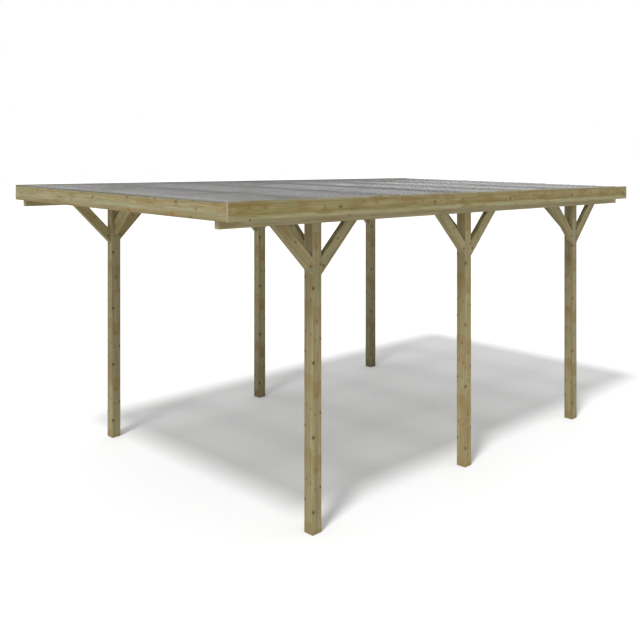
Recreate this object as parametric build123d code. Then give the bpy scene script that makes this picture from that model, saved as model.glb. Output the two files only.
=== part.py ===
from build123d import *
import math
import os

# Open timber carport with a flat roof that falls towards the back.
# Units are millimetres. X is the width, Y the length (the drive-in end is at
# -Y, the low end of the roof at +Y), Z is up. The origin is on the ground, in
# the middle of the roof's outline.

# ---------------------------------------------------------------- sizes
POST = 90.0                # square posts
POST_OUT_X = 1455.0        # outer faces of the two rows of posts
POST_PITCH = 1850.0        # from post to post along each side
ROW_SHIFT = 4.0            # the posts stand this much nearer the back than the roof
FALL = 1.0 / 60.0          # fall of the roof towards the back

ROOF_HALF_W = 1580.0       # outer faces of the side fascia boards
ROOF_HALF_L = 2759.0       # ends of the side fascia boards

BEAM_T = 45.0              # side beams, flush with the posts' outer faces
BEAM_H = 95.0
BEAM_Z = 2240.0            # underside of the beams at mid length

RAFTER_T = 45.0            # rafters across the beams
RAFTER_H = 90.0
RAFTER_SEAT = 9.0          # depth to which a rafter is notched over a beam

FASCIA_T = 19.0            # fascia boards
FASCIA_LOW = 55.0          # their lower edge above the beams' underside
FASCIA_TOP = 190.0         # upper edge of the side boards, measured the same

BRACE_T = 45.0             # knee braces at 45 degrees
BRACE_W = 90.0
BRACE_LEG = 380.0          # from the post's face to where the lower edge ends

SHEET_T = 1.5              # corrugated roof sheets
WAVE_PITCH = 80.0
WAVE_H = 11.0              # overall height of the wave
WAVES_PER_SHEET = 13
WAVE_STEPS = 10            # straight steps that stand for one wave

# ---------------------------------------------------------------- derived
RAFTER_LOW = BEAM_H - RAFTER_SEAT          # above the beams' underside
RAFTER_TOP = RAFTER_LOW + RAFTER_H
POST_IN_X = POST_OUT_X - POST
BEAM_IN_X = POST_OUT_X - BEAM_T
FASCIA_IN_X = ROOF_HALF_W - FASCIA_T
FRONT_IN_Y = -ROOF_HALF_L + FASCIA_T

os.makedirs("parts", exist_ok=True)


def level(y, h=0.0):
    """Height of the sloping plane that lies h above the beams' underside."""
    return BEAM_Z + h - y * FALL


def prism_x(points, x0, x1):
    """A solid with the outline points, given as (y, z), from x0 to x1."""
    face = Face(Wire.make_polygon([Vector(x0, y, z) for y, z in points], close=True))
    return Solid.extrude(face, Vector(x1 - x0, 0, 0))


def prism_y(points, y0, y1, drop=0.0):
    """A solid with the outline points, given as (x, z), from y0 to y1, which
    sinks by drop on the way."""
    face = Face(Wire.make_polygon([Vector(x, y0, z) for x, z in points], close=True))
    return Solid.extrude(face, Vector(0, y1 - y0, -drop))


def falling_box(x0, x1, y0, y1, h0, h1):
    """A board that follows the roof's fall, its ends upright."""
    return prism_x([(y0, level(y0, h0)), (y1, level(y1, h0)),
                    (y1, level(y1, h1)), (y0, level(y0, h1))], x0, x1)


def save(shape, name, rgb):
    if isinstance(shape, (list, ShapeList)):
        shape = Compound(children=list(shape))
    elif not isinstance(shape, Solid):
        solids = shape.solids()
        shape = solids[0] if len(solids) == 1 else Compound(children=list(solids))
    shape.label = name
    shape.color = Color(*rgb)
    export_step(shape, "parts/" + name + ".step")
    return shape


WOOD = (0.60, 0.56, 0.40)
WOOD_DARK = (0.50, 0.46, 0.33)
SHEET = (0.55, 0.55, 0.54)

ROWS = [("front", ROW_SHIFT - POST_PITCH), ("middle", ROW_SHIFT),
        ("rear", ROW_SHIFT + POST_PITCH)]
SIDES = [("left", -1.0), ("right", 1.0)]

# ---------------------------------------------------------------- posts
# The outer half of each post ends under the beam. The inner half goes on up
# beside the beam, as a tongue that is bolted to it, and carries the rafter.
for row, yc in ROWS:
    y0, y1 = yc - POST / 2, yc + POST / 2
    for side, s in SIDES:
        outer = prism_x([(y0, 0), (y1, 0), (y1, level(y1)), (y0, level(y0))],
                        s * BEAM_IN_X, s * POST_OUT_X)
        inner = prism_x([(y0, 0), (y1, 0), (y1, level(y1, RAFTER_LOW)),
                         (y0, level(y0, RAFTER_LOW))],
                        s * POST_IN_X, s * BEAM_IN_X)
        save(outer.fuse(inner), "post_%s_%s" % (row, side), WOOD)

# ---------------------------------------------------------------- side beams
for side, s in SIDES:
    save(falling_box(s * BEAM_IN_X, s * POST_OUT_X, FRONT_IN_Y, ROOF_HALF_L,
                     0, BEAM_H), "beam_%s" % side, WOOD_DARK)

# ---------------------------------------------------------------- rafters
# Seven across the beams: one over each post, one midway between, and one at
# each end of the beams.
half_pitch = POST_PITCH / 2
rafters = [("front", FRONT_IN_Y + RAFTER_T / 2)]
rafters += [(label, ROW_SHIFT + k * half_pitch) for label, k in
            (("second", -2), ("third", -1), ("middle", 0), ("fifth", 1), ("sixth", 2))]
rafters += [("rear", ROOF_HALF_L - RAFTER_T / 2)]
for name, yc in rafters:
    y0, y1 = yc - RAFTER_T / 2, yc + RAFTER_T / 2
    bar = falling_box(-FASCIA_IN_X, FASCIA_IN_X, y0, y1, RAFTER_LOW, RAFTER_TOP)
    for side, s in SIDES:
        xa, xb = sorted((s * BEAM_IN_X, s * POST_OUT_X))
        bar = bar.cut(falling_box(xa, xb, y0 - 5, y1 + 5, 0, BEAM_H))
        if isinstance(bar, (list, ShapeList)):
            bar = bar[0]
    save(bar, "rafter_%s" % name, WOOD_DARK)

# ---------------------------------------------------------------- fascia
# The side boards run past the ends of the front board. The back, where the
# roof drains, is open under the sheets.
for side, s in SIDES:
    save(falling_box(s * FASCIA_IN_X, s * ROOF_HALF_W, -ROOF_HALF_L, ROOF_HALF_L,
                     FASCIA_LOW, FASCIA_TOP), "fascia_%s" % side, WOOD)
save(falling_box(-FASCIA_IN_X, FASCIA_IN_X, -ROOF_HALF_L, FRONT_IN_Y,
                 FASCIA_LOW, RAFTER_TOP), "fascia_front", WOOD)

# ---------------------------------------------------------------- braces
# Two at each post in line with the beam, and one across, up to the rafter.
RISE = BRACE_W * math.sqrt(2.0)    # the brace's width, measured level or upright
for row, yc in ROWS:
    for side, s in SIDES:
        for way, d in (("forward", -1.0), ("back", 1.0)):
            f = yc + d * POST / 2
            tip, heel = f + d * BRACE_LEG, f + d * (BRACE_LEG - RISE)
            low = BRACE_LEG - (3.0 if d < 0 else -3.0) * 0.5
            save(prism_x([(f, level(f) - low), (tip, level(tip)),
                          (heel, level(heel)), (f, level(f) - low + RISE)],
                         s * BEAM_IN_X, s * POST_OUT_X),
                 "brace_%s_%s_%s" % (row, side, way), WOOD)
        y0, y1 = yc - BRACE_T / 2, yc + BRACE_T / 2
        top = level(y0, RAFTER_LOW)
        xp = s * POST_IN_X
        knee = prism_y([(xp, top - BRACE_LEG),
                        (xp - s * (BRACE_LEG + 2), top + 2),
                        (xp - s * (BRACE_LEG - RISE + 2), top + 2),
                        (xp, top - BRACE_LEG + RISE)], y0, y1, BRACE_T * FALL)
        knee = knee.cut(falling_box(-POST_IN_X - 10, POST_IN_X + 10, y0 - 5, y1 + 5,
                                    RAFTER_LOW, RAFTER_TOP))
        save(knee, "brace_%s_%s_inward" % (row, side), WOOD)

# ---------------------------------------------------------------- roof sheets
# Three corrugated sheets side by side, their waves along the length. The
# middle one lies over one wave of each neighbour.


def wave(x):
    """Underside of a sheet above the lowest point of the waves."""
    return (WAVE_H - SHEET_T) * 0.5 * (1 - math.cos(2 * math.pi * x / WAVE_PITCH))


WIDTH = 3 * WAVES_PER_SHEET * WAVE_PITCH
sheets = [("left", 0, WAVES_PER_SHEET, 0.0),
          ("middle", WAVES_PER_SHEET - 1, 2 * WAVES_PER_SHEET + 1, SHEET_T),
          ("right", 2 * WAVES_PER_SHEET, 3 * WAVES_PER_SHEET, 0.0)]
y0, y1 = -ROOF_HALF_L, ROOF_HALF_L
for name, w0, w1, lift in sheets:
    xs = [w0 * WAVE_PITCH + i * WAVE_PITCH / WAVE_STEPS
          for i in range((w1 - w0) * WAVE_STEPS + 1)]
    base = level(y0, RAFTER_TOP) + lift
    under = [(x - WIDTH / 2, base + wave(x)) for x in xs]
    over = [(x, z + SHEET_T) for x, z in reversed(under)]
    save(prism_y(under + over, y0, y1, (y1 - y0) * FALL),
         "roof_sheet_%s" % name, SHEET)
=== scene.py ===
import math
import random

import bmesh
import bpy
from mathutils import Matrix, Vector


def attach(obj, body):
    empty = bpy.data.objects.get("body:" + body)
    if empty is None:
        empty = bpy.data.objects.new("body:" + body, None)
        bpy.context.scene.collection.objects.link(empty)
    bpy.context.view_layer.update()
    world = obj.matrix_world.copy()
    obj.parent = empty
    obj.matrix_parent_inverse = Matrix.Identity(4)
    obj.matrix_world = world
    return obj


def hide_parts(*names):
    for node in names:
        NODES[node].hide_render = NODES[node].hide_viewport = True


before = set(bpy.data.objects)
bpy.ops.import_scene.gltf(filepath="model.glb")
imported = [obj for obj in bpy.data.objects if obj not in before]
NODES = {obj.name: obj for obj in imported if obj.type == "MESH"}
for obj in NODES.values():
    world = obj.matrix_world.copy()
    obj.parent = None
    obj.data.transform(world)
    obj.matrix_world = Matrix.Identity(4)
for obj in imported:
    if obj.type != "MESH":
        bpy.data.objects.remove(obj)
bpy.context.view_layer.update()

scene = bpy.context.scene

# ------------------------------------------------------------------ sizes, metres
# The same numbers as in the part's source.
FALL = 1.0 / 60.0
BEAM_Z = 2.240
POST_IN, POST_OUT = 1.365, 1.455
BEAM_IN = 1.410
ROOF_W, ROOF_L = 1.580, 2.759
FASCIA_IN = 1.561
RAFTER_LOW, RAFTER_TOP = 0.086, 0.176
FASCIA_LOW, FASCIA_TOP = 0.055, 0.190
WAVE_PITCH, WAVE_H, SHEET_T = 0.080, 0.011, 0.0015
WAVES = 39
ROW_SHIFT = 0.004
ROWS = {"front": ROW_SHIFT - 1.85, "middle": ROW_SHIFT, "rear": ROW_SHIFT + 1.85}
SIDES = {"left": -1.0, "right": 1.0}
RAFTERS = {"front": -2.7175, "second": -1.846, "third": -0.921, "middle": 0.004,
           "fifth": 0.929, "sixth": 1.854, "rear": 2.7365}
BRACE_LEG = 0.380


def level(y, h=0.0):
    return BEAM_Z + h - y * FALL


# ------------------------------------------------------------------ small helpers
class Nodes:
    """Short ways to add and join shader nodes."""

    def __init__(self, tree):
        self.tree = tree

    def add(self, kind, **values):
        node = self.tree.nodes.new(kind)
        for key, value in values.items():
            setattr(node, key, value)
        return node

    def put(self, socket, value):
        if isinstance(value, bpy.types.NodeSocket):
            self.tree.links.new(value, socket)
        elif value is not None:
            socket.default_value = value

    def math(self, op, a, b=None, c=None, clamp=False):
        node = self.add("ShaderNodeMath", operation=op, use_clamp=clamp)
        for socket, value in zip(node.inputs, (a, b, c)):
            self.put(socket, value)
        return node.outputs[0]

    def vec(self, x, y, z):
        node = self.add("ShaderNodeCombineXYZ")
        for socket, value in zip(node.inputs, (x, y, z)):
            self.put(socket, value)
        return node.outputs[0]

    def split(self, v):
        node = self.add("ShaderNodeSeparateXYZ")
        self.put(node.inputs[0], v)
        return node.outputs[0], node.outputs[1], node.outputs[2]

    def attribute(self, name):
        return self.add("ShaderNodeAttribute", attribute_name=name).outputs["Vector"]

    def noise(self, v, scale=1.0, detail=2.0, rough=0.5, w=None):
        node = self.add("ShaderNodeTexNoise",
                        noise_dimensions="3D" if w is None else "4D")
        self.put(node.inputs["Vector"], v)
        if w is not None:
            self.put(node.inputs["W"], w)
        node.inputs["Scale"].default_value = scale
        node.inputs["Detail"].default_value = detail
        node.inputs["Roughness"].default_value = rough
        return node.outputs["Fac"]

    def smooth(self, x, low, high, out_low=0.0, out_high=1.0):
        """Smooth step of x from low to high."""
        node = self.add("ShaderNodeMapRange", interpolation_type="SMOOTHSTEP")
        self.put(node.inputs["Value"], x)
        for name, value in (("From Min", low), ("From Max", high),
                            ("To Min", out_low), ("To Max", out_high)):
            self.put(node.inputs[name], value)
        return node.outputs["Result"]

    def linear(self, x, low, high, out_low=0.0, out_high=1.0):
        node = self.add("ShaderNodeMapRange", interpolation_type="LINEAR")
        self.put(node.inputs["Value"], x)
        for name, value in (("From Min", low), ("From Max", high),
                            ("To Min", out_low), ("To Max", out_high)):
            self.put(node.inputs[name], value)
        return node.outputs["Result"]

    def mix(self, fac, a, b, blend="MIX"):
        node = self.add("ShaderNodeMix", data_type="RGBA", blend_type=blend)
        node.clamp_result = False
        self.put(node.inputs[0], fac)
        for socket, value in ((node.inputs[6], a), (node.inputs[7], b)):
            if isinstance(value, tuple) and len(value) == 3:
                value = value + (1.0,)
            self.put(socket, value)
        return node.outputs[2]

    def ramp(self, x, stops, mode="LINEAR"):
        node = self.add("ShaderNodeValToRGB")
        ramp = node.color_ramp
        ramp.interpolation = mode
        while len(ramp.elements) > 1:
            ramp.elements.remove(ramp.elements[-1])
        ramp.elements[0].position = stops[0][0]
        ramp.elements[0].color = tuple(stops[0][1]) + (1.0,)
        for position, colour in stops[1:]:
            element = ramp.elements.new(position)
            element.color = tuple(colour) + (1.0,)
        self.put(node.inputs[0], x)
        return node.outputs["Color"]


def lin(r, g, b):
    """Linear colour from 0 to 255 display values."""
    def one(c):
        c /= 255.0
        return c / 12.92 if c <= 0.04045 else ((c + 0.055) / 1.055) ** 2.4
    return (one(r), one(g), one(b))


def new_material(name):
    mat = bpy.data.materials.new(name)
    mat.use_nodes = True
    mat.node_tree.nodes.clear()
    n = Nodes(mat.node_tree)
    out = n.add("ShaderNodeOutputMaterial")
    shader = n.add("ShaderNodeBsdfPrincipled")
    mat.node_tree.links.new(shader.outputs[0], out.inputs[0])
    return mat, n, shader


# ------------------------------------------------------------------ timber
# Each board carries five attributes on its mesh.
#   grain: metres along the board, and across it from the pith of the log, turned
#          so that the second number points from the pith into the board
#   place: -1 to 1 across the board's width and thickness, and along it
#   board: three random numbers, the same all over the board
#   spot: metres along the board and from its middle, for the chosen knots
#   tone_and_painted_light: how light the board is against the others: its own random tone, and for the posts and
#       braces also painted light and shade
def timber(name, tones, knot_step=0.19, knot_share=0.5, knot_size=0.0085, band=None,
           knots=(), pale=(), repeat=0.0, patches=(), round_pith=False, mottle=1.0,
           contrast=1.0):
    """tones: light, dark, green and brown colour of the wood
    knots, pale: chosen knots as (metres along, place across, radius)
    patches: browner stretches as (metres along, length, from, to across)
    repeat: length after which the chosen ones come again
    round_pith: places across are angles round the post's middle, in degrees
    mottle: how strongly the green and brown tones come and go
    contrast: how strongly the browner stretches show
    """
    light, dark, green, brown = tones
    mat, n, shader = new_material(name)
    u, a, b = n.split(n.attribute("grain"))
    across, through, along = n.split(n.attribute("place"))
    s1, s2, s3 = n.split(n.attribute("board"))
    tone_and_painted_light = n.add("ShaderNodeAttribute", attribute_name="tone_and_painted_light").outputs["Fac"]

    # distance from the pith and the angle round it
    far = n.math("SQRT", n.math("ADD", n.math("MULTIPLY", a, a), n.math("MULTIPLY", b, b)))
    angle = n.math("ARCTAN2", b, a)

    # knots run outwards from the pith
    step_angle = 1.15
    pu = n.math("ADD", n.math("DIVIDE", u, knot_step), n.math("MULTIPLY", s1, 37.0))
    pa = n.math("ADD", n.math("DIVIDE", angle, step_angle), n.math("MULTIPLY", s2, 23.0))
    cell = n.add("ShaderNodeTexVoronoi", voronoi_dimensions="2D", feature="F1")
    n.put(cell.inputs["Vector"], n.vec(pu, pa, 0.0))
    cell.inputs["Scale"].default_value = 1.0
    cell.inputs["Randomness"].default_value = 0.9
    cu, ca, _ = n.split(cell.outputs["Position"])
    c1, c2, c3 = n.split(cell.outputs["Color"])
    du = n.math("MULTIPLY", n.math("SUBTRACT", pu, cu), knot_step * 0.86)
    da = n.math("MULTIPLY", n.math("MULTIPLY", n.math("SUBTRACT", pa, ca), step_angle), far)
    wobble = n.noise(n.vec(n.math("MULTIPLY", u, 60.0), n.math("MULTIPLY", a, 60.0),
                           n.math("MULTIPLY", b, 60.0)), 1.0, 2.0, 0.6)
    away = n.math("SQRT", n.math("ADD", n.math("MULTIPLY", du, du), n.math("MULTIPLY", da, da)))
    away = n.math("MULTIPLY", away, n.linear(wobble, 0.3, 0.7, 0.82, 1.18))
    size = n.linear(c1, 1.0 - knot_share, 1.0, 0.0, 1.0)
    size = n.math("MULTIPLY", n.math("POWER", n.math("MAXIMUM", size, 0.0), 0.6), knot_size)
    size = n.math("ADD", n.math("MULTIPLY", size, n.linear(far, 0.0, 0.09, 0.75, 1.35)), 0.00001)
    knot = n.math("DIVIDE", away, size)
    # chosen knots
    su, sv, sw = n.split(n.attribute("spot"))
    if round_pith:
        side = n.math("ARCTAN2", sw, sv)
        reach = n.math("SQRT", n.math("ADD", n.math("MULTIPLY", sv, sv), n.math("MULTIPLY", sw, sw)))

    def wrap(x, length):
        turns = n.math("FRACT", n.math("ADD", n.math("DIVIDE", x, length), 0.5))
        return n.math("MULTIPLY", n.math("SUBTRACT", turns, 0.5), length)

    def distance(at, across_at, radius):
        du = n.math("SUBTRACT", su, at)
        if repeat:
            du = wrap(du, repeat)
        if round_pith:
            dv = wrap(n.math("SUBTRACT", side, math.radians(across_at)), 2 * math.pi)
            dv = n.math("MULTIPLY", dv, reach)
        else:
            dv = n.math("SUBTRACT", sv, across_at)
        du, dv = n.math("MULTIPLY", du, 0.85 / radius), n.math("DIVIDE", dv, radius)
        d = n.math("SQRT", n.math("ADD", n.math("MULTIPLY", du, du), n.math("MULTIPLY", dv, dv)))
        return n.math("MULTIPLY", d, n.linear(wobble, 0.3, 0.7, 0.84, 1.16))

    for at, across_at, radius in knots:
        knot = n.math("MINIMUM", knot, distance(at, across_at, radius))
    soft = None
    for at, across_at, radius in pale:
        d = distance(at, across_at, radius)
        soft = d if soft is None else n.math("MINIMUM", soft, d)
    core = n.smooth(knot, 0.95, 0.55)
    rim = n.math("MULTIPLY", n.smooth(knot, 1.25, 0.95), n.smooth(knot, 0.6, 0.95))
    halo = n.math("POWER", n.smooth(knot, 3.6, 0.9), 1.5)

    # growth rings, wavy along the board and pushed aside by the knots
    slow = n.noise(n.vec(n.math("MULTIPLY", u, 1.1), n.math("MULTIPLY", a, 9.0),
                         n.math("MULTIPLY", b, 9.0)), 1.0, 2.0, 0.5, n.math("MULTIPLY", s1, 40.0))
    fine = n.noise(n.vec(n.math("MULTIPLY", u, 5.0), n.math("MULTIPLY", a, 45.0),
                         n.math("MULTIPLY", b, 45.0)), 1.0, 2.0, 0.5, n.math("MULTIPLY", s2, 40.0))
    rings = n.math("ADD", far, n.math("MULTIPLY", n.math("SUBTRACT", slow, 0.5), 0.050))
    rings = n.math("ADD", rings, n.math("MULTIPLY", n.math("SUBTRACT", fine, 0.5), 0.0035))
    push = n.math("MULTIPLY", n.math("POWER", n.smooth(knot, 5.0, 0.8), 2.0), n.math("MULTIPLY", size, 1.3))
    rings = n.math("ADD", rings, push)
    phase = n.math("DIVIDE", rings, n.linear(s3, 0.0, 1.0, 0.0038, 0.0056))
    saw = n.math("FRACT", phase)
    late = n.math("MULTIPLY", n.smooth(saw, 0.35, 0.88), n.smooth(saw, 1.0, 0.93))

    # wider bands of rings, long streaks, patches and pale fibres
    wide = n.noise(n.vec(n.math("MULTIPLY", rings, 62.0), n.math("MULTIPLY", s1, 9.0), 0.0), 1.0, 2.0, 0.6)
    streak = n.noise(n.vec(n.math("MULTIPLY", u, 1.4), n.math("MULTIPLY", a, 85.0),
                           n.math("MULTIPLY", b, 85.0)), 1.0, 3.0, 0.55, n.math("MULTIPLY", s3, 40.0))
    patch = n.noise(n.vec(n.math("MULTIPLY", u, 3.1), n.math("MULTIPLY", a, 11.0),
                          n.math("MULTIPLY", b, 11.0)), 1.0, 3.0, 0.55, n.math("MULTIPLY", s2, 60.0))
    blot = n.noise(n.vec(n.math("MULTIPLY", u, 9.0), n.math("MULTIPLY", a, 30.0),
                         n.math("MULTIPLY", b, 30.0)), 1.0, 3.0, 0.6, n.math("MULTIPLY", s1, 60.0))
    fibre = n.noise(n.vec(n.math("MULTIPLY", u, 26.0), n.math("MULTIPLY", a, 900.0),
                          n.math("MULTIPLY", b, 900.0)), 1.0, 3.0, 0.6)

    # browner stretches that begin at once, as where pieces are finger-jointed,
    # and fade away along the board
    browner = None
    comb = n.math("FRACT", n.math("DIVIDE", n.math("ADD", sv, sw), 0.008))
    comb = n.math("MULTIPLY", n.math("ABSOLUTE", n.math("SUBTRACT", comb, 0.5)), 0.006)
    for at, length, low, high in patches:
        du = n.math("SUBTRACT", n.math("ADD", su, comb), at)
        if repeat:
            du = wrap(n.math("SUBTRACT", du, repeat * 0.25), repeat)
            du = n.math("ADD", du, repeat * 0.25)
        if length < 0:
            du = n.math("MULTIPLY", du, -1.0)
        part = n.math("MULTIPLY", n.smooth(du, 0.0, 0.004), n.smooth(du, abs(length) * 1.25, abs(length) * 0.35))
        if round_pith:
            near = wrap(n.math("SUBTRACT", side, math.radians((low + high) / 2)), 2 * math.pi)
            half = math.radians((high - low) / 2)
            near = n.math("ABSOLUTE", near)
            part = n.math("MULTIPLY", part, n.smooth(near, half * 1.02, half * 0.98))
        else:
            part = n.math("MULTIPLY", part, n.smooth(sv, low - 0.004, low + 0.004))
            part = n.math("MULTIPLY", part, n.smooth(sv, high + 0.004, high - 0.004))
        browner = part if browner is None else n.math("MAXIMUM", browner, part)

    base = n.mix(n.smooth(n.math("ADD", n.math("MULTIPLY", wide, 0.55), n.math("MULTIPLY", streak, 0.45)), 0.36, 0.64), light, dark)
    base = n.mix(n.smooth(patch, 0.50, 0.66, 0.0, 0.75 * mottle), base, green)
    base = n.mix(n.smooth(patch, 0.49, 0.34, 0.0, 0.75 * mottle), base, brown)
    base = n.mix(n.smooth(blot, 0.56, 0.72, 0.0, 0.45 * mottle), base, brown)
    if band is not None:
        drift = n.math("ADD", across, n.math("MULTIPLY", n.math("SUBTRACT", slow, 0.5), 0.35))
        tint = n.ramp(n.linear(drift, -1.0, 1.0), band)
        base = n.mix(1.0, base, tint, "MULTIPLY")
    hue = n.noise(n.vec(n.math("MULTIPLY", u, 8.0), n.math("MULTIPLY", a, 26.0),
                        n.math("MULTIPLY", b, 26.0)), 1.0, 2.0, 0.6, n.math("MULTIPLY", s2, 35.0))
    wander = n.ramp(hue, [(0.34, (0.965, 1.015, 0.93)), (0.47, (1.0, 1.0, 1.0)),
                          (0.53, (1.0, 0.99, 1.0)), (0.67, (1.05, 0.965, 0.90))])
    base = n.mix(1.0, base, wander, "MULTIPLY")
    base = n.mix(n.math("MULTIPLY", late, 0.22), base, dark, "MULTIPLY")
    if browner is not None:
        uneven = n.linear(blot, 0.35, 0.65, 0.45 * contrast, 0.85 * contrast)
        base = n.mix(n.math("MULTIPLY", browner, uneven), base, brown)
    if soft is not None:
        base = n.mix(n.math("MULTIPLY", n.smooth(soft, 2.4, 0.4), 0.75), base, lin(112, 84, 40))
    base = n.mix(n.math("MULTIPLY", halo, 0.62), base, lin(104, 80, 38))
    base = n.mix(rim, base, lin(54, 35, 18))
    base = n.mix(n.math("MULTIPLY", core, 0.9), base, lin(67, 43, 23))
    # sawn ends, paler, with the rings across them
    ends = n.smooth(n.math("ABSOLUTE", along), 0.9993, 0.9997)
    sawn = n.mix(n.math("MULTIPLY", late, 0.7), lin(139, 132, 104), lin(117, 104, 72))
    sawn = n.mix(n.smooth(blot, 0.45, 0.65, 0.0, 0.5), sawn, lin(136, 126, 92))
    base = n.mix(ends, base, sawn)
    bright = n.linear(fibre, 0.25, 0.75, 0.91, 1.09)
    bright = n.math("MULTIPLY", bright, tone_and_painted_light)
    tinted = n.add("ShaderNodeVectorMath", operation="SCALE")
    n.put(tinted.inputs[0], base)
    n.put(tinted.inputs["Scale"], bright)
    n.put(shader.inputs["Base Color"], tinted.outputs[0])

    rough = n.math("ADD", n.linear(streak, 0.3, 0.7, 0.60, 0.74), n.math("MULTIPLY", core, -0.12))
    n.put(shader.inputs["Roughness"], rough)
    shader.inputs["Specular IOR Level"].default_value = 0.32

    height = n.math("MULTIPLY", late, 0.00012)
    height = n.math("ADD", height, n.math("MULTIPLY", fibre, 0.00022))
    height = n.math("ADD", height, n.math("MULTIPLY", rim, -0.0006))
    height = n.math("ADD", height, n.math("MULTIPLY", core, 0.0002))
    bump = n.add("ShaderNodeBump")
    bump.inputs["Strength"].default_value = 0.8
    bump.inputs["Distance"].default_value = 1.0
    n.put(bump.inputs["Height"], height)
    n.put(shader.inputs["Normal"], bump.outputs[0])
    return mat


TONES = (lin(144, 136, 102), lin(122, 110, 74), lin(121, 117, 78), lin(118, 98, 54))
TONES_BRACE = (lin(144, 136, 99), lin(122, 110, 71), lin(121, 117, 75), lin(118, 98, 51))
TONES_BEAM = (lin(159, 151, 119), lin(138, 126, 90), lin(136, 131, 94), lin(132, 113, 71))
TONES_SIDE = (lin(137, 127, 87), lin(117, 104, 64), lin(117, 110, 67), lin(112, 93, 45))
TONES_FRONT = (lin(142, 132, 99), lin(121, 109, 74), lin(122, 116, 78), lin(118, 98, 51))

# tint from the lower to the upper edge of a board
BAND_SIDE = [(0.00, (0.97, 1.00, 1.12)), (0.06, (1.03, 1.09, 1.24)), (0.12, (1.10, 1.19, 1.42)),
             (0.20, (1.11, 1.21, 1.48)), (0.26, (1.02, 1.07, 1.20)), (0.32, (0.89, 0.86, 0.72)),
             (0.45, (0.88, 0.84, 0.68)), (0.56, (1.00, 0.98, 0.94)), (0.80, (1.04, 1.05, 1.06)),
             (0.92, (1.00, 1.03, 1.15)), (0.955, (1.02, 1.08, 1.40)), (1.00, (1.00, 1.10, 1.62))]
BAND_FRONT = [(0.00, (0.90, 0.88, 0.85)), (0.10, (0.86, 0.83, 0.76)), (0.26, (0.91, 0.90, 0.86)),
              (0.35, (1.06, 1.12, 1.25)), (0.43, (1.13, 1.25, 1.50)), (0.50, (1.04, 1.12, 1.26)),
              (0.58, (0.96, 0.98, 1.02)), (0.80, (1.03, 1.02, 0.98)), (1.00, (0.94, 0.94, 0.93))]

# angles round a post: 0 is its face towards +X, -90 the one towards -Y
POST_KNOTS = [(0.168, -39.4, 0.0072), (0.244, -131.0, 0.0052), (0.336, 38.0, 0.0050),
              (0.105, 150.0, 0.0064), (0.400, 62.0, 0.0056), (0.520, 196.0, 0.0064)]
POST_PALE = [(0.467, -6.0, 0.0095), (0.331, -22.0, 0.0060), (0.395, -119.0, 0.0065), (0.300, 118.0, 0.0060),
             (0.377, -59.0, 0.0055), (0.150, 86.0, 0.0080), (0.460, 130.0, 0.0080)]
POST_PATCHES = [(0.577, -0.17, -44.5, 44.5), (0.628, -0.15, -134.5, -45.5),
                (0.560, -0.16, 45.5, 134.5), (0.610, -0.17, 135.5, 224.5)]

SIDE_KNOTS = [(-1.728, 0.000, 0.0080)]
SIDE_PALE = [(-1.892, 0.010, 0.0070), (-1.480, 0.034, 0.0080), (-1.341, 0.018, 0.0065),
             (-2.440, 0.017, 0.0075), (-1.640, 0.004, 0.0050)]
SIDE_PATCHES = [(-1.598, 0.165, -0.020, 0.058), (-2.149, 0.150, -0.022, 0.056)]

FRONT_KNOTS = [(-0.337, 0.056, 0.0050), (0.345, 0.049, 0.0065), (0.723, 0.056, 0.0050),
               (0.989, 0.047, 0.0055), (1.162, -0.051, 0.0060), (-0.900, 0.054, 0.0045)]
FRONT_PALE = [(-1.142, 0.043, 0.0085), (-0.163, 0.028, 0.0085), (0.989, 0.040, 0.0120),
              (-0.965, -0.043, 0.0090), (-0.517, -0.015, 0.0060), (0.945, -0.044, 0.0130),
              (0.371, -0.055, 0.0150), (1.225, 0.006, 0.0070), (-0.118, -0.002, 0.0060)]
FRONT_PATCHES = [(0.270, 0.20, -0.062, -0.034), (0.880, 0.16, -0.062, -0.034),
                 (-1.060, 0.16, -0.062, -0.032), (-0.560, 0.12, 0.000, 0.055),
                 (0.480, 0.15, 0.005, 0.055)]

BRACE_KNOTS = [(0.060, -0.010, 0.0064), (0.300, 0.018, 0.0048)]

MATS = {
    "post_timber": timber("post_timber", TONES, 0.34, 0.14, 0.0052, knots=POST_KNOTS,
                          pale=POST_PALE, patches=POST_PATCHES, repeat=0.5435, round_pith=True,
                          mottle=0.55, contrast=0.8),
    "beam_timber": timber("beam_timber", TONES_BEAM, 0.45, 0.12, 0.0055, mottle=0.8),
    "rafter_timber": timber("rafter_timber", TONES, 0.30, 0.45, 0.0090),
    "brace_timber": timber("brace_timber", TONES_BRACE, 0.40, 0.14, 0.0060, knots=BRACE_KNOTS, mottle=0.8),
    "fascia_timber": timber("fascia_timber", TONES_SIDE, 0.45, 0.04, 0.0045, band=BAND_SIDE,
                            knots=SIDE_KNOTS, pale=SIDE_PALE, patches=SIDE_PATCHES, repeat=1.103,
                            mottle=0.95, contrast=0.70),
    "fascia_timber_front": timber("fascia_timber_front", TONES_FRONT, 0.45, 0.06, 0.0045,
                                  band=BAND_FRONT, knots=FRONT_KNOTS, pale=FRONT_PALE,
                                  patches=FRONT_PATCHES, mottle=1.15, contrast=0.85),
}


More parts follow.
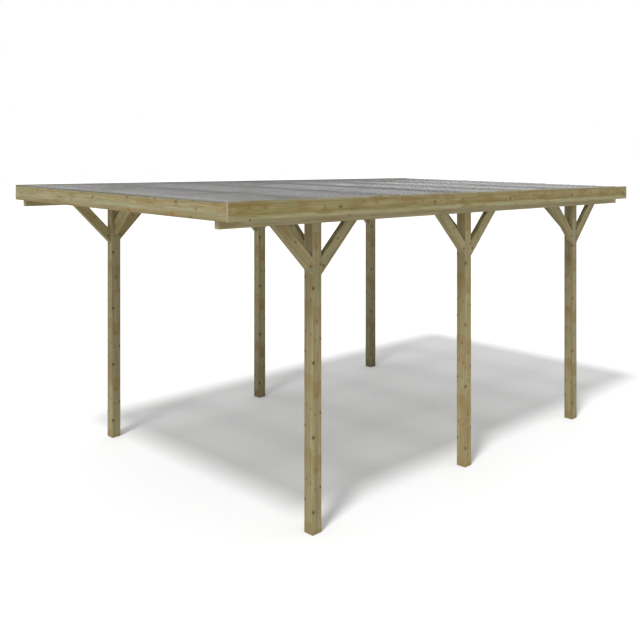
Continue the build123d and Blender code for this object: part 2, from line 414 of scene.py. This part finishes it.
def board_piece(name, axis, width, pith, kind, material, round_edges=0.0018, start=None,
                tone_and_painted_light=None):
    """A copy of a CAD board with eased edges and the attributes of its grain.

    axis: unit vector along the board; width: unit vector across its wide face
    pith: where the pith is, as distances along width and thickness from the
    board's middle
    start: where the chosen knots are measured from along the board, or None for
    the board's own lower end
    tone: how light the board is, or that at the foot and its rise with each metre; painted light and shade where
    it is given, a random tone where it is not
    """
    node = NODES[name]
    u_dir = Vector(axis).normalized()
    v_dir = Vector(width).normalized()
    w_dir = u_dir.cross(v_dir).normalized()
    mesh = bpy.data.meshes.new(name + "_wood")
    bm = bmesh.new()
    bm.from_mesh(node.data)
    bmesh.ops.remove_doubles(bm, verts=bm.verts, dist=0.00002)
    bmesh.ops.dissolve_limit(bm, angle_limit=math.radians(0.6), verts=bm.verts, edges=bm.edges)
    edges = [e for e in bm.edges if len(e.link_faces) == 2
             and abs((e.verts[0].co - e.verts[1].co).normalized().dot(u_dir)) > 0.998
             and e.calc_length() > 0.05 and e.is_convex]
    # a board that ends in a slanting cut keeps a sharp end
    bmesh.ops.bevel(bm, geom=edges, offset=round_edges, offset_type="OFFSET", segments=3,
                    profile=0.5, affect="EDGES", clamp_overlap=True)
    bmesh.ops.remove_doubles(bm, verts=bm.verts, dist=0.00001)
    bmesh.ops.recalc_face_normals(bm, faces=bm.faces)
    bm.to_mesh(mesh)
    bm.free()

    pts = [v.co.copy() for v in mesh.vertices]
    us = [p.y for p in pts] if kind == "fall" else [p.dot(u_dir) for p in pts]
    vs = [p.dot(v_dir) for p in pts]
    ws = [p.dot(w_dir) for p in pts]
    v_mid, w_mid = (min(vs) + max(vs)) / 2, (min(ws) + max(ws)) / 2
    v_half, w_half = (max(vs) - min(vs)) / 2, (max(ws) - min(ws)) / 2
    if kind == "fall":
        # boards that follow the fall: across is measured from the sloping line
        vs = [p.z + p.y * FALL for p in pts]
        v_mid, v_half = (min(vs) + max(vs)) / 2, (max(vs) - min(vs)) / 2
    rng = random.Random(name)
    board = (rng.random(), rng.random(), rng.random())
    pv, pw = pith
    turn = math.atan2(-pw, -pv) if (pv or pw) else 0.0
    if kind == "post":
        turn = math.atan2(1.0, 1.0)
    c, s = math.cos(turn), math.sin(turn)
    grain, place, seeds, spot = [], [], [], []
    u_mid, u_half = (min(us) + max(us)) / 2, (max(us) - min(us)) / 2
    if start is None:
        start = min(us)
    for u, v, w in zip(us, vs, ws):
        dv, dw = v - v_mid - pv, w - w_mid - pw
        grain += [u, c * dv + s * dw, -s * dv + c * dw]
        place += [(v - v_mid) / v_half, (w - w_mid) / w_half, (u - u_mid) / u_half]
        seeds += board
        spot += [u - start, v - v_mid, w - w_mid]
    for label, values in (("grain", grain), ("place", place), ("board", seeds), ("spot", spot)):
        layer = mesh.attributes.new(label, "FLOAT_VECTOR", "POINT")
        layer.data.foreach_set("vector", values)
    if tone_and_painted_light is None:
        tone_and_painted_light = 0.97 + 0.06 * board[2]
    foot, rise = tone_and_painted_light if isinstance(tone_and_painted_light, tuple) else (tone_and_painted_light, 0.0)
    layer = mesh.attributes.new("tone_and_painted_light", "FLOAT", "POINT")
    layer.data.foreach_set("value", [foot + rise * p.z for p in pts])
    mesh.materials.append(material)
    obj = bpy.data.objects.new(name + "_wood", mesh)
    scene.collection.objects.link(obj)
    for poly in mesh.polygons:
        poly.use_smooth = False
    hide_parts(name)
    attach(obj, "root")
    return obj


DOWN_AXIS = Vector((0, 1, -FALL)).normalized()
# painted light and shade: each post and brace made lighter or darker by how much light reaches it under the
# roof, darkest at the rear left; the rise per metre makes a post lighter or darker towards its top
POST_PAINTED_LIGHT_SHADE = {"front_left": (0.98, 0.0), "front_right": (0.99, -0.03), "middle_left": (0.71, 0.18),
              "middle_right": (1.16, -0.04), "rear_left": (0.58, 0.16), "rear_right": (0.92, -0.04)}
BRACE_PAINTED_LIGHT_SHADE = {"front_left_forward": 1.22, "front_left_back": 1.22, "front_left_inward": 1.26,
               "front_right_forward": 0.96, "front_right_back": 0.84,
               "rear_left_forward": 0.85, "rear_left_back": 0.85, "rear_left_inward": 0.85}
rng = random.Random(11)

for row, yc in ROWS.items():
    for side, s in SIDES.items():
        name = "post_%s_%s" % (row, side)
        # width along +X, thickness then along +Y for an axis of +Z
        ob = board_piece(name, (0, 0, 1), (1, 0, 0), (0.0, 0.0), "post", MATS["post_timber"], start=0.0,
                         tone_and_painted_light=POST_PAINTED_LIGHT_SHADE["%s_%s" % (row, side)])
        for way, d in (("forward", -1.0), ("back", 1.0)):
            name = "brace_%s_%s_%s" % (row, side, way)
            axis = Vector((0, d, 1)).normalized()
            ob = board_piece(name, axis, Vector((0, -1, d)).normalized() * d,
                             (rng.uniform(-0.02, 0.02), rng.choice((-1, 1)) * rng.uniform(0.03, 0.05)),
                             "brace", MATS["brace_timber"],
                             tone_and_painted_light=BRACE_PAINTED_LIGHT_SHADE.get("%s_%s_%s" % (row, side, way)))
        name = "brace_%s_%s_inward" % (row, side)
        axis = Vector((-s, 0, 1)).normalized()
        ob = board_piece(name, axis, Vector((1, 0, s)).normalized(),
                         (rng.uniform(-0.02, 0.02), rng.choice((-1, 1)) * rng.uniform(0.03, 0.05)),
                         "brace", MATS["brace_timber"],
                         tone_and_painted_light=BRACE_PAINTED_LIGHT_SHADE.get("%s_%s_inward" % (row, side)))

for side, s in SIDES.items():
    ob = board_piece("beam_" + side, DOWN_AXIS, (0, 0, 1), (0.01, 0.045), "fall",
                     MATS["beam_timber"])
    ob = board_piece("fascia_" + side, DOWN_AXIS, (0, 0, 1), (-0.02, 0.070), "fall",
                     MATS["fascia_timber"], 0.0012, start=0.0)
for label in RAFTERS:
    ob = board_piece("rafter_" + label, (1, 0, 0), (0, 0, 1),
                     (rng.uniform(-0.02, 0.02), rng.choice((-1, 1)) * rng.uniform(0.03, 0.05)),
                     "rafter", MATS["rafter_timber"])
ob = board_piece("fascia_front", (1, 0, 0), (0, 0, 1), (0.02, 0.065), "rafter",
                 MATS["fascia_timber_front"], 0.0012, start=0.0)


# ------------------------------------------------------------------ roof sheets
def sheet_material():
    mat, n, shader = new_material("roof_sheet")
    coords = n.add("ShaderNodeTexCoord").outputs["Object"]
    x, y, z = n.split(coords)
    dust = n.noise(n.vec(n.math("MULTIPLY", x, 1.6), n.math("MULTIPLY", y, 0.35), 0.0), 1.0, 3.0, 0.5)
    runs = n.noise(n.vec(n.math("MULTIPLY", x, 12.0), n.math("MULTIPLY", y, 0.8), 3.0), 1.0, 3.0, 0.6)
    specks = n.noise(n.vec(n.math("MULTIPLY", x, 45.0), n.math("MULTIPLY", y, 45.0), 7.0), 1.0, 3.0, 0.6)
    colour = n.mix(n.smooth(dust, 0.32, 0.68), (0.050, 0.0485, 0.046), (0.074, 0.072, 0.070))
    # painted light: the sheet paler towards the low rear end, much less so along the left side and a little less
    # along the right
    drift = n.math("ADD", y, n.math("MULTIPLY", n.math("SUBTRACT", runs, 0.5), 0.9))
    rear_painted_light = n.smooth(n.math("ADD", drift, n.math("MULTIPLY", x, 0.35)), -1.0, 1.3)
    rear_painted_light = n.math("MULTIPLY", rear_painted_light, n.smooth(x, -1.35, -0.10, 0.04, 1.0))
    rear_painted_light = n.math("MULTIPLY", rear_painted_light, n.smooth(x, 1.25, 0.65, 0.62, 1.0))
    colour = n.mix(rear_painted_light, colour, (0.176, 0.174, 0.170))
    # darker over the front half of the left side
    left = n.math("MULTIPLY", n.smooth(x, -0.35, -1.20), n.smooth(y, -1.4, -0.2))
    colour = n.mix(n.math("MULTIPLY", left, 0.85), colour, (0.008, 0.008, 0.008))
    # painted shade: darker bands over each rafter and a little way up from it, standing in for the shaded
    # rafters seen through the sheet
    rafter_painted_shade = None
    for at, reach, share in ((-2.03, 0.30, 0.40), (-1.10, 0.32, 0.48), (-0.12, 0.34, 0.90),
                             (0.64, 0.28, 0.85), (1.46, 0.30, 0.85), (2.28, 0.28, 0.70)):
        away = n.math("ABSOLUTE", n.math("SUBTRACT", y, at))
        one = n.smooth(away, reach, reach * 0.2, 0.0, share)
        rafter_painted_shade = one if rafter_painted_shade is None else n.math("MAXIMUM", rafter_painted_shade, one)
    colour = n.mix(rafter_painted_shade, colour, (0.004, 0.004, 0.004))
    # paler along the front edge and in the front left corner
    colour = n.mix(n.smooth(y, -2.46, -2.64, 0.0, 0.62), colour, (0.165, 0.158, 0.146))
    corner = n.math("MULTIPLY", n.smooth(x, -0.5, -1.2), n.smooth(y, -1.75, -2.35))
    colour = n.mix(n.math("MULTIPLY", corner, 0.55), colour, (0.165, 0.160, 0.152))
    # painted highlights standing in for reflections on the sheet, and two darker spots
    painted_highlight, dark_spot = None, None
    for kind, px, py, rx, ry in (("painted_highlight", 0.73, -2.02, 0.050, 0.045), ("painted_highlight", 0.97, -2.06, 0.070, 0.045),
                                 ("painted_highlight", -0.16, 0.09, 0.150, 0.100), ("dark_spot", 0.11, -0.15, 0.110, 0.110),
                                 ("dark_spot", 1.33, -0.12, 0.160, 0.130)):
        ex = n.math("DIVIDE", n.math("SUBTRACT", x, px), rx)
        ey = n.math("DIVIDE", n.math("SUBTRACT", y, py), ry)
        d = n.math("SQRT", n.math("ADD", n.math("MULTIPLY", ex, ex), n.math("MULTIPLY", ey, ey)))
        spot = n.smooth(d, 1.25, 0.55)
        if kind == "painted_highlight":
            painted_highlight = spot if painted_highlight is None else n.math("MAXIMUM", painted_highlight, spot)
        else:
            dark_spot = spot if dark_spot is None else n.math("MAXIMUM", dark_spot, spot)
    # painted highlights, then the darker spots
    colour = n.mix(n.math("MULTIPLY", painted_highlight, 0.8), colour, (0.30, 0.28, 0.27))
    colour = n.mix(n.math("MULTIPLY", dark_spot, 0.8), colour, (0.003, 0.003, 0.003))
    cut = n.smooth(n.math("ABSOLUTE", y), 2.7584, 2.7588)
    colour = n.mix(n.math("MULTIPLY", cut, 0.9), colour, (0.30, 0.28, 0.24))
    tinted = n.add("ShaderNodeVectorMath", operation="SCALE")
    n.put(tinted.inputs[0], colour)
    n.put(tinted.inputs["Scale"], n.math("MULTIPLY", n.linear(specks, 0.3, 0.7, 0.90, 1.10),
                                         n.linear(runs, 0.3, 0.7, 0.90, 1.10)))
    n.put(shader.inputs["Base Color"], tinted.outputs[0])
    n.put(shader.inputs["Roughness"], n.linear(dust, 0.3, 0.7, 0.15, 0.22))
    # the painted rafter shade also weakens the reflection there
    n.put(shader.inputs["IOR"], n.linear(rafter_painted_shade, 0.0, 1.0, 1.46, 1.36))
    # clearer over the front board, and pale where the sheets are cut
    clear = n.smooth(y, -2.752, -2.690, 0.50, 1.0)
    n.put(shader.inputs["Alpha"], n.math("MULTIPLY", n.linear(dust, 0.3, 0.7, 0.50, 0.54), clear))
    return mat


SHEET_MAT = sheet_material()
STEPS = 16


def wave(x):
    return (WAVE_H - SHEET_T) * 0.5 * (1 - math.cos(2 * math.pi * x / WAVE_PITCH))


def roof_sheet(name, w0, w1, lift):
    mesh = bpy.data.meshes.new(name + "_wavy")
    bm = bmesh.new()
    nx = (w1 - w0) * STEPS
    ys = [-ROOF_L + 2 * ROOF_L * j / 24 for j in range(25)]
    grid = []
    for k in (0, 1):
        rows = []
        for y in ys:
            base = level(y, RAFTER_TOP) + lift
            rows.append([bm.verts.new((w0 * WAVE_PITCH + i * WAVE_PITCH / STEPS - WAVES * WAVE_PITCH / 2,
                                       y, base + wave(i * WAVE_PITCH / STEPS) + k * SHEET_T))
                         for i in range(nx + 1)])
        grid.append(rows)
    under, over = grid
    for j in range(len(ys) - 1):
        for i in range(nx):
            bm.faces.new((over[j][i], over[j][i + 1], over[j + 1][i + 1], over[j + 1][i])).smooth = True
            bm.faces.new((under[j][i], under[j + 1][i], under[j + 1][i + 1], under[j][i + 1])).smooth = True
        bm.faces.new((under[j][0], over[j][0], over[j + 1][0], under[j + 1][0]))
        bm.faces.new((under[j][nx], under[j + 1][nx], over[j + 1][nx], over[j][nx]))
    for i in range(nx):
        bm.faces.new((under[0][i], under[0][i + 1], over[0][i + 1], over[0][i]))
        bm.faces.new((under[-1][i], over[-1][i], over[-1][i + 1], under[-1][i + 1]))
    bmesh.ops.recalc_face_normals(bm, faces=bm.faces)
    for e in bm.edges:
        if len(e.link_faces) == 2 and e.calc_face_angle() > math.radians(50):
            e.smooth = False
    bm.to_mesh(mesh)
    bm.free()
    mesh.materials.append(SHEET_MAT)
    obj = bpy.data.objects.new(name + "_wavy", mesh)
    scene.collection.objects.link(obj)
    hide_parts(name)
    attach(obj, "root")
    return obj


roof_sheet("roof_sheet_left", 0, 13, 0.0)
roof_sheet("roof_sheet_middle", 12, 27, SHEET_T)
roof_sheet("roof_sheet_right", 26, 39, 0.0)

# ------------------------------------------------------------------ fasteners
def steel_material(name, low, high, rough, metal=0.9):
    mat, n, shader = new_material(name)
    coords = n.add("ShaderNodeTexCoord").outputs["Object"]
    x, y, z = n.split(coords)
    p = n.vec(n.math("MULTIPLY", x, 900.0), n.math("MULTIPLY", y, 900.0), n.math("MULTIPLY", z, 900.0))
    grain = n.noise(p, 1.0, 3.0, 0.6)
    cell = n.add("ShaderNodeTexVoronoi", feature="F1")
    n.put(cell.inputs["Vector"], p)
    cell.inputs["Scale"].default_value = 0.5
    flake = n.split(cell.outputs["Color"])[0]
    blend = n.math("ADD", n.math("MULTIPLY", grain, 0.6), n.math("MULTIPLY", flake, 0.4))
    n.put(shader.inputs["Base Color"], n.mix(n.smooth(blend, 0.25, 0.75), low, high))
    n.put(shader.inputs["Roughness"], n.linear(grain, 0.3, 0.7, rough, rough + 0.14))
    shader.inputs["Metallic"].default_value = metal
    bump = n.add("ShaderNodeBump")
    bump.inputs["Strength"].default_value = 0.5
    bump.inputs["Distance"].default_value = 1.0
    n.put(bump.inputs["Height"], n.math("MULTIPLY", grain, 0.00004))
    n.put(shader.inputs["Normal"], bump.outputs[0])
    return mat


ZINC = steel_material("zinc_steel", (0.30, 0.30, 0.31), (0.52, 0.52, 0.52), 0.34)
DULL = steel_material("dull_steel", (0.16, 0.15, 0.13), (0.30, 0.29, 0.26), 0.42)
CAP = steel_material("grey_cap", (0.07, 0.07, 0.07), (0.13, 0.13, 0.125), 0.50, 0.25)


def turned(bm, at, axis, profile, segments=20, spin=0.0, lift=None):
    """A closed body turned about an axis, from (radius, height) pairs that begin
    and end at radius 0. lift moves each point up, by its place on the ground."""
    axis = Vector(axis).normalized()
    one = axis.orthogonal().normalized()
    two = axis.cross(one)
    rings = []
    for radius, height in profile:
        if radius < 1e-7:
            points = [at + axis * height]
        else:
            points = [at + axis * height
                      + one * (radius * math.cos(spin + 2 * math.pi * k / segments))
                      + two * (radius * math.sin(spin + 2 * math.pi * k / segments))
                      for k in range(segments)]
        if lift is not None:
            points = [q + Vector((0, 0, lift(q.x, q.y))) for q in points]
        rings.append([bm.verts.new(q) for q in points])
    for low, high in zip(rings, rings[1:]):
        for k in range(segments):
            m = (k + 1) % segments
            if len(low) == 1:
                bm.faces.new((low[0], high[m], high[k]))
            elif len(high) == 1:
                bm.faces.new((low[k], low[m], high[0]))
            else:
                bm.faces.new((low[k], low[m], high[m], high[k]))


def fastener_piece(name, build, material):
    mesh = bpy.data.meshes.new(name)
    bm = bmesh.new()
    build(bm)
    bmesh.ops.recalc_face_normals(bm, faces=bm.faces)
    for face in bm.faces:
        face.smooth = True
    for e in bm.edges:
        if len(e.link_faces) == 2 and e.calc_face_angle() > math.radians(28):
            e.smooth = False
    bm.to_mesh(mesh)
    bm.free()
    mesh.materials.append(material)
    obj = bpy.data.objects.new(name, mesh)
    scene.collection.objects.link(obj)
    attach(obj, "root")
    return obj


# low roof screws with washers, on the crests over each rafter
WASHER = [(0.0, -0.0004), (0.0084, -0.0004), (0.0086, 0.0002), (0.0080, 0.0007),
          (0.0056, 0.0010), (0.0042, 0.0010), (0.0041, 0.0017), (0.0035, 0.0020),
          (0.0019, 0.0020), (0.0016, 0.0013), (0.0, 0.0012)]
CRESTS = (1, 4, 8, 12, 16, 19, 22, 26, 30, 34, 37)


def roof_screws(bm):
    r = random.Random(5)
    for at in RAFTERS.values():
        for k in CRESTS:
            xc = (k + 0.5) * WAVE_PITCH - WAVES * WAVE_PITCH / 2 + r.uniform(-0.0006, 0.0006)
            yc = at + r.uniform(-0.004, 0.004)
            lift = SHEET_T if 12 <= k <= 26 else 0.0

            def surface(x, y):
                return wave(x + WAVES * WAVE_PITCH / 2) - wave(WAVE_PITCH / 2) - (y - yc) * FALL

            top = level(yc, RAFTER_TOP) + lift + WAVE_H
            turned(bm, Vector((xc, yc, top)), (0, 0, 1), WASHER, 18, r.random(), surface)


# screws through the ends of the braces
SUNK = [(0.0, -0.0030), (0.0020, -0.0030), (0.0044, 0.0), (0.0046, 0.0004), (0.0043, 0.0007),
        (0.0024, 0.0008), (0.0020, 0.0003), (0.0, 0.0003)]


def brace_screws(bm):
    r = random.Random(7)

    def pair(foot, head, outward, sideways):
        run = (head - foot).normalized()
        normal = (outward - run * outward.dot(run)).normalized()
        for at in (foot + run * 0.047, head - run * 0.047):
            for d in (-0.011, 0.011):
                spot = at + sideways * d + run * (0.006 if d > 0 else -0.006)
                turned(bm, spot, normal, SUNK, 16, r.random())

    for yc in ROWS.values():
        for s in SIDES.values():
            for d in (-1.0, 1.0):
                f = yc + d * 0.045
                tip = f + d * BRACE_LEG
                low = BRACE_LEG - (0.003 if d < 0 else -0.003) * 0.5
                x = s * (BEAM_IN + POST_OUT) / 2
                pair(Vector((x, f, level(f) - low)), Vector((x, tip, level(tip))),
                     Vector((0, d, -1)), Vector((1, 0, 0)))
            y0 = yc - 0.0225
            top = level(y0, RAFTER_LOW) - 0.0225 * FALL
            xp = s * POST_IN
            pair(Vector((xp, yc, top - BRACE_LEG)),
                 Vector((xp - s * (BRACE_LEG - 0.001), yc, top)),
                 Vector((-s, 0, -1)), Vector((0, 1, 0)))


# bolts through the tongues of the posts and the beams
DOME = [(0.0, -0.0010), (0.0118, -0.0010), (0.0120, 0.0004), (0.0108, 0.0020), (0.0085, 0.0034),
        (0.0055, 0.0043), (0.0028, 0.0047), (0.0, 0.0048)]
PLATE = [(0.0, -0.0008), (0.0118, -0.0008), (0.0120, 0.0), (0.0120, 0.0012), (0.0116, 0.0016),
         (0.0, 0.0016)]
NUT = [(0.0, 0.0010), (0.0083, 0.0010), (0.0087, 0.0022), (0.0087, 0.0072), (0.0080, 0.0080),
       (0.0, 0.0080)]
STUD = [(0.0, 0.0070), (0.0049, 0.0070), (0.0049, 0.0112), (0.0041, 0.0120), (0.0, 0.0120)]


def beam_bolts(bm):
    r = random.Random(9)
    for yc in ROWS.values():
        for s in SIDES.values():
            for dy, h in ((-0.023, 0.062), (0.023, 0.062)):
                z = level(yc + dy, h)
                turned(bm, Vector((s * POST_IN, yc + dy, z)), (-s, 0, 0), DOME, 24, r.random())
                out = Vector((s * POST_OUT, yc + dy, z))
                turned(bm, out, (s, 0, 0), PLATE, 24, r.random())
                turned(bm, out, (s, 0, 0), NUT, 6, r.random())
                turned(bm, out, (s, 0, 0), STUD, 16, r.random())


fastener_piece("roof_screws", roof_screws, CAP)
fastener_piece("brace_screws", brace_screws, DULL)
fastener_piece("beam_bolts", beam_bolts, ZINC)

# ------------------------------------------------------------------ floor, light, camera
floor_mesh = bpy.data.meshes.new("floor")
bm = bmesh.new()
bmesh.ops.create_grid(bm, x_segments=2, y_segments=2, size=60.0)
bm.to_mesh(floor_mesh)
bm.free()
floor = bpy.data.objects.new("floor", floor_mesh)
scene.collection.objects.link(floor)
mat, n, shader = new_material("floor_pale")
shader.inputs["Base Color"].default_value = (0.62, 0.62, 0.62, 1)
shader.inputs["Roughness"].default_value = 1.0
shader.inputs["Specular IOR Level"].default_value = 0.0
floor_mesh.materials.append(mat)

world = bpy.data.worlds.new("studio")
scene.world = world
world.use_nodes = True
wn = world.node_tree.nodes
wn.clear()
back = wn.new("ShaderNodeBackground")
back.inputs["Color"].default_value = (1, 1, 1, 1)
back.inputs["Strength"].default_value = 1.0
wout = wn.new("ShaderNodeOutputWorld")
world.node_tree.links.new(back.outputs[0], wout.inputs[0])

sun = bpy.data.lights.new("key", "SUN")
sun.energy = 3.0
sun.angle = math.radians(9.0)
sun_obj = bpy.data.objects.new("key", sun)
scene.collection.objects.link(sun_obj)
toward = Vector((0.455, -1.15, 2.4)).normalized()
sun_obj.rotation_mode = "QUATERNION"
sun_obj.rotation_quaternion = toward.to_track_quat("Z", "Y")

cam = bpy.data.cameras.new("camera")
cam.sensor_width = 36.0
cam.lens = 836.18 * 36.0 / 640.0
cam.shift_x = 0.0
cam.shift_y = -(320.0 - 144.34) / 640.0
cam.clip_end = 200.0
cam_obj = bpy.data.objects.new("camera", cam)
cam_obj.location = (5.8605, -6.0730, 2.8453)
cam_obj.rotation_euler = (math.pi / 2, 0.0, math.radians(45.985))
scene.collection.objects.link(cam_obj)
scene.camera = cam_obj

scene.view_settings.view_transform = "Standard"
scene.view_settings.look = "None"
scene.view_settings.exposure = 0.0
scene.view_settings.gamma = 1.0
scene.cycles.max_bounces = 8
scene.cycles.transparent_max_bounces = 24

# ------------------------------------------------------------------ finish
bpy.context.view_layer.update()
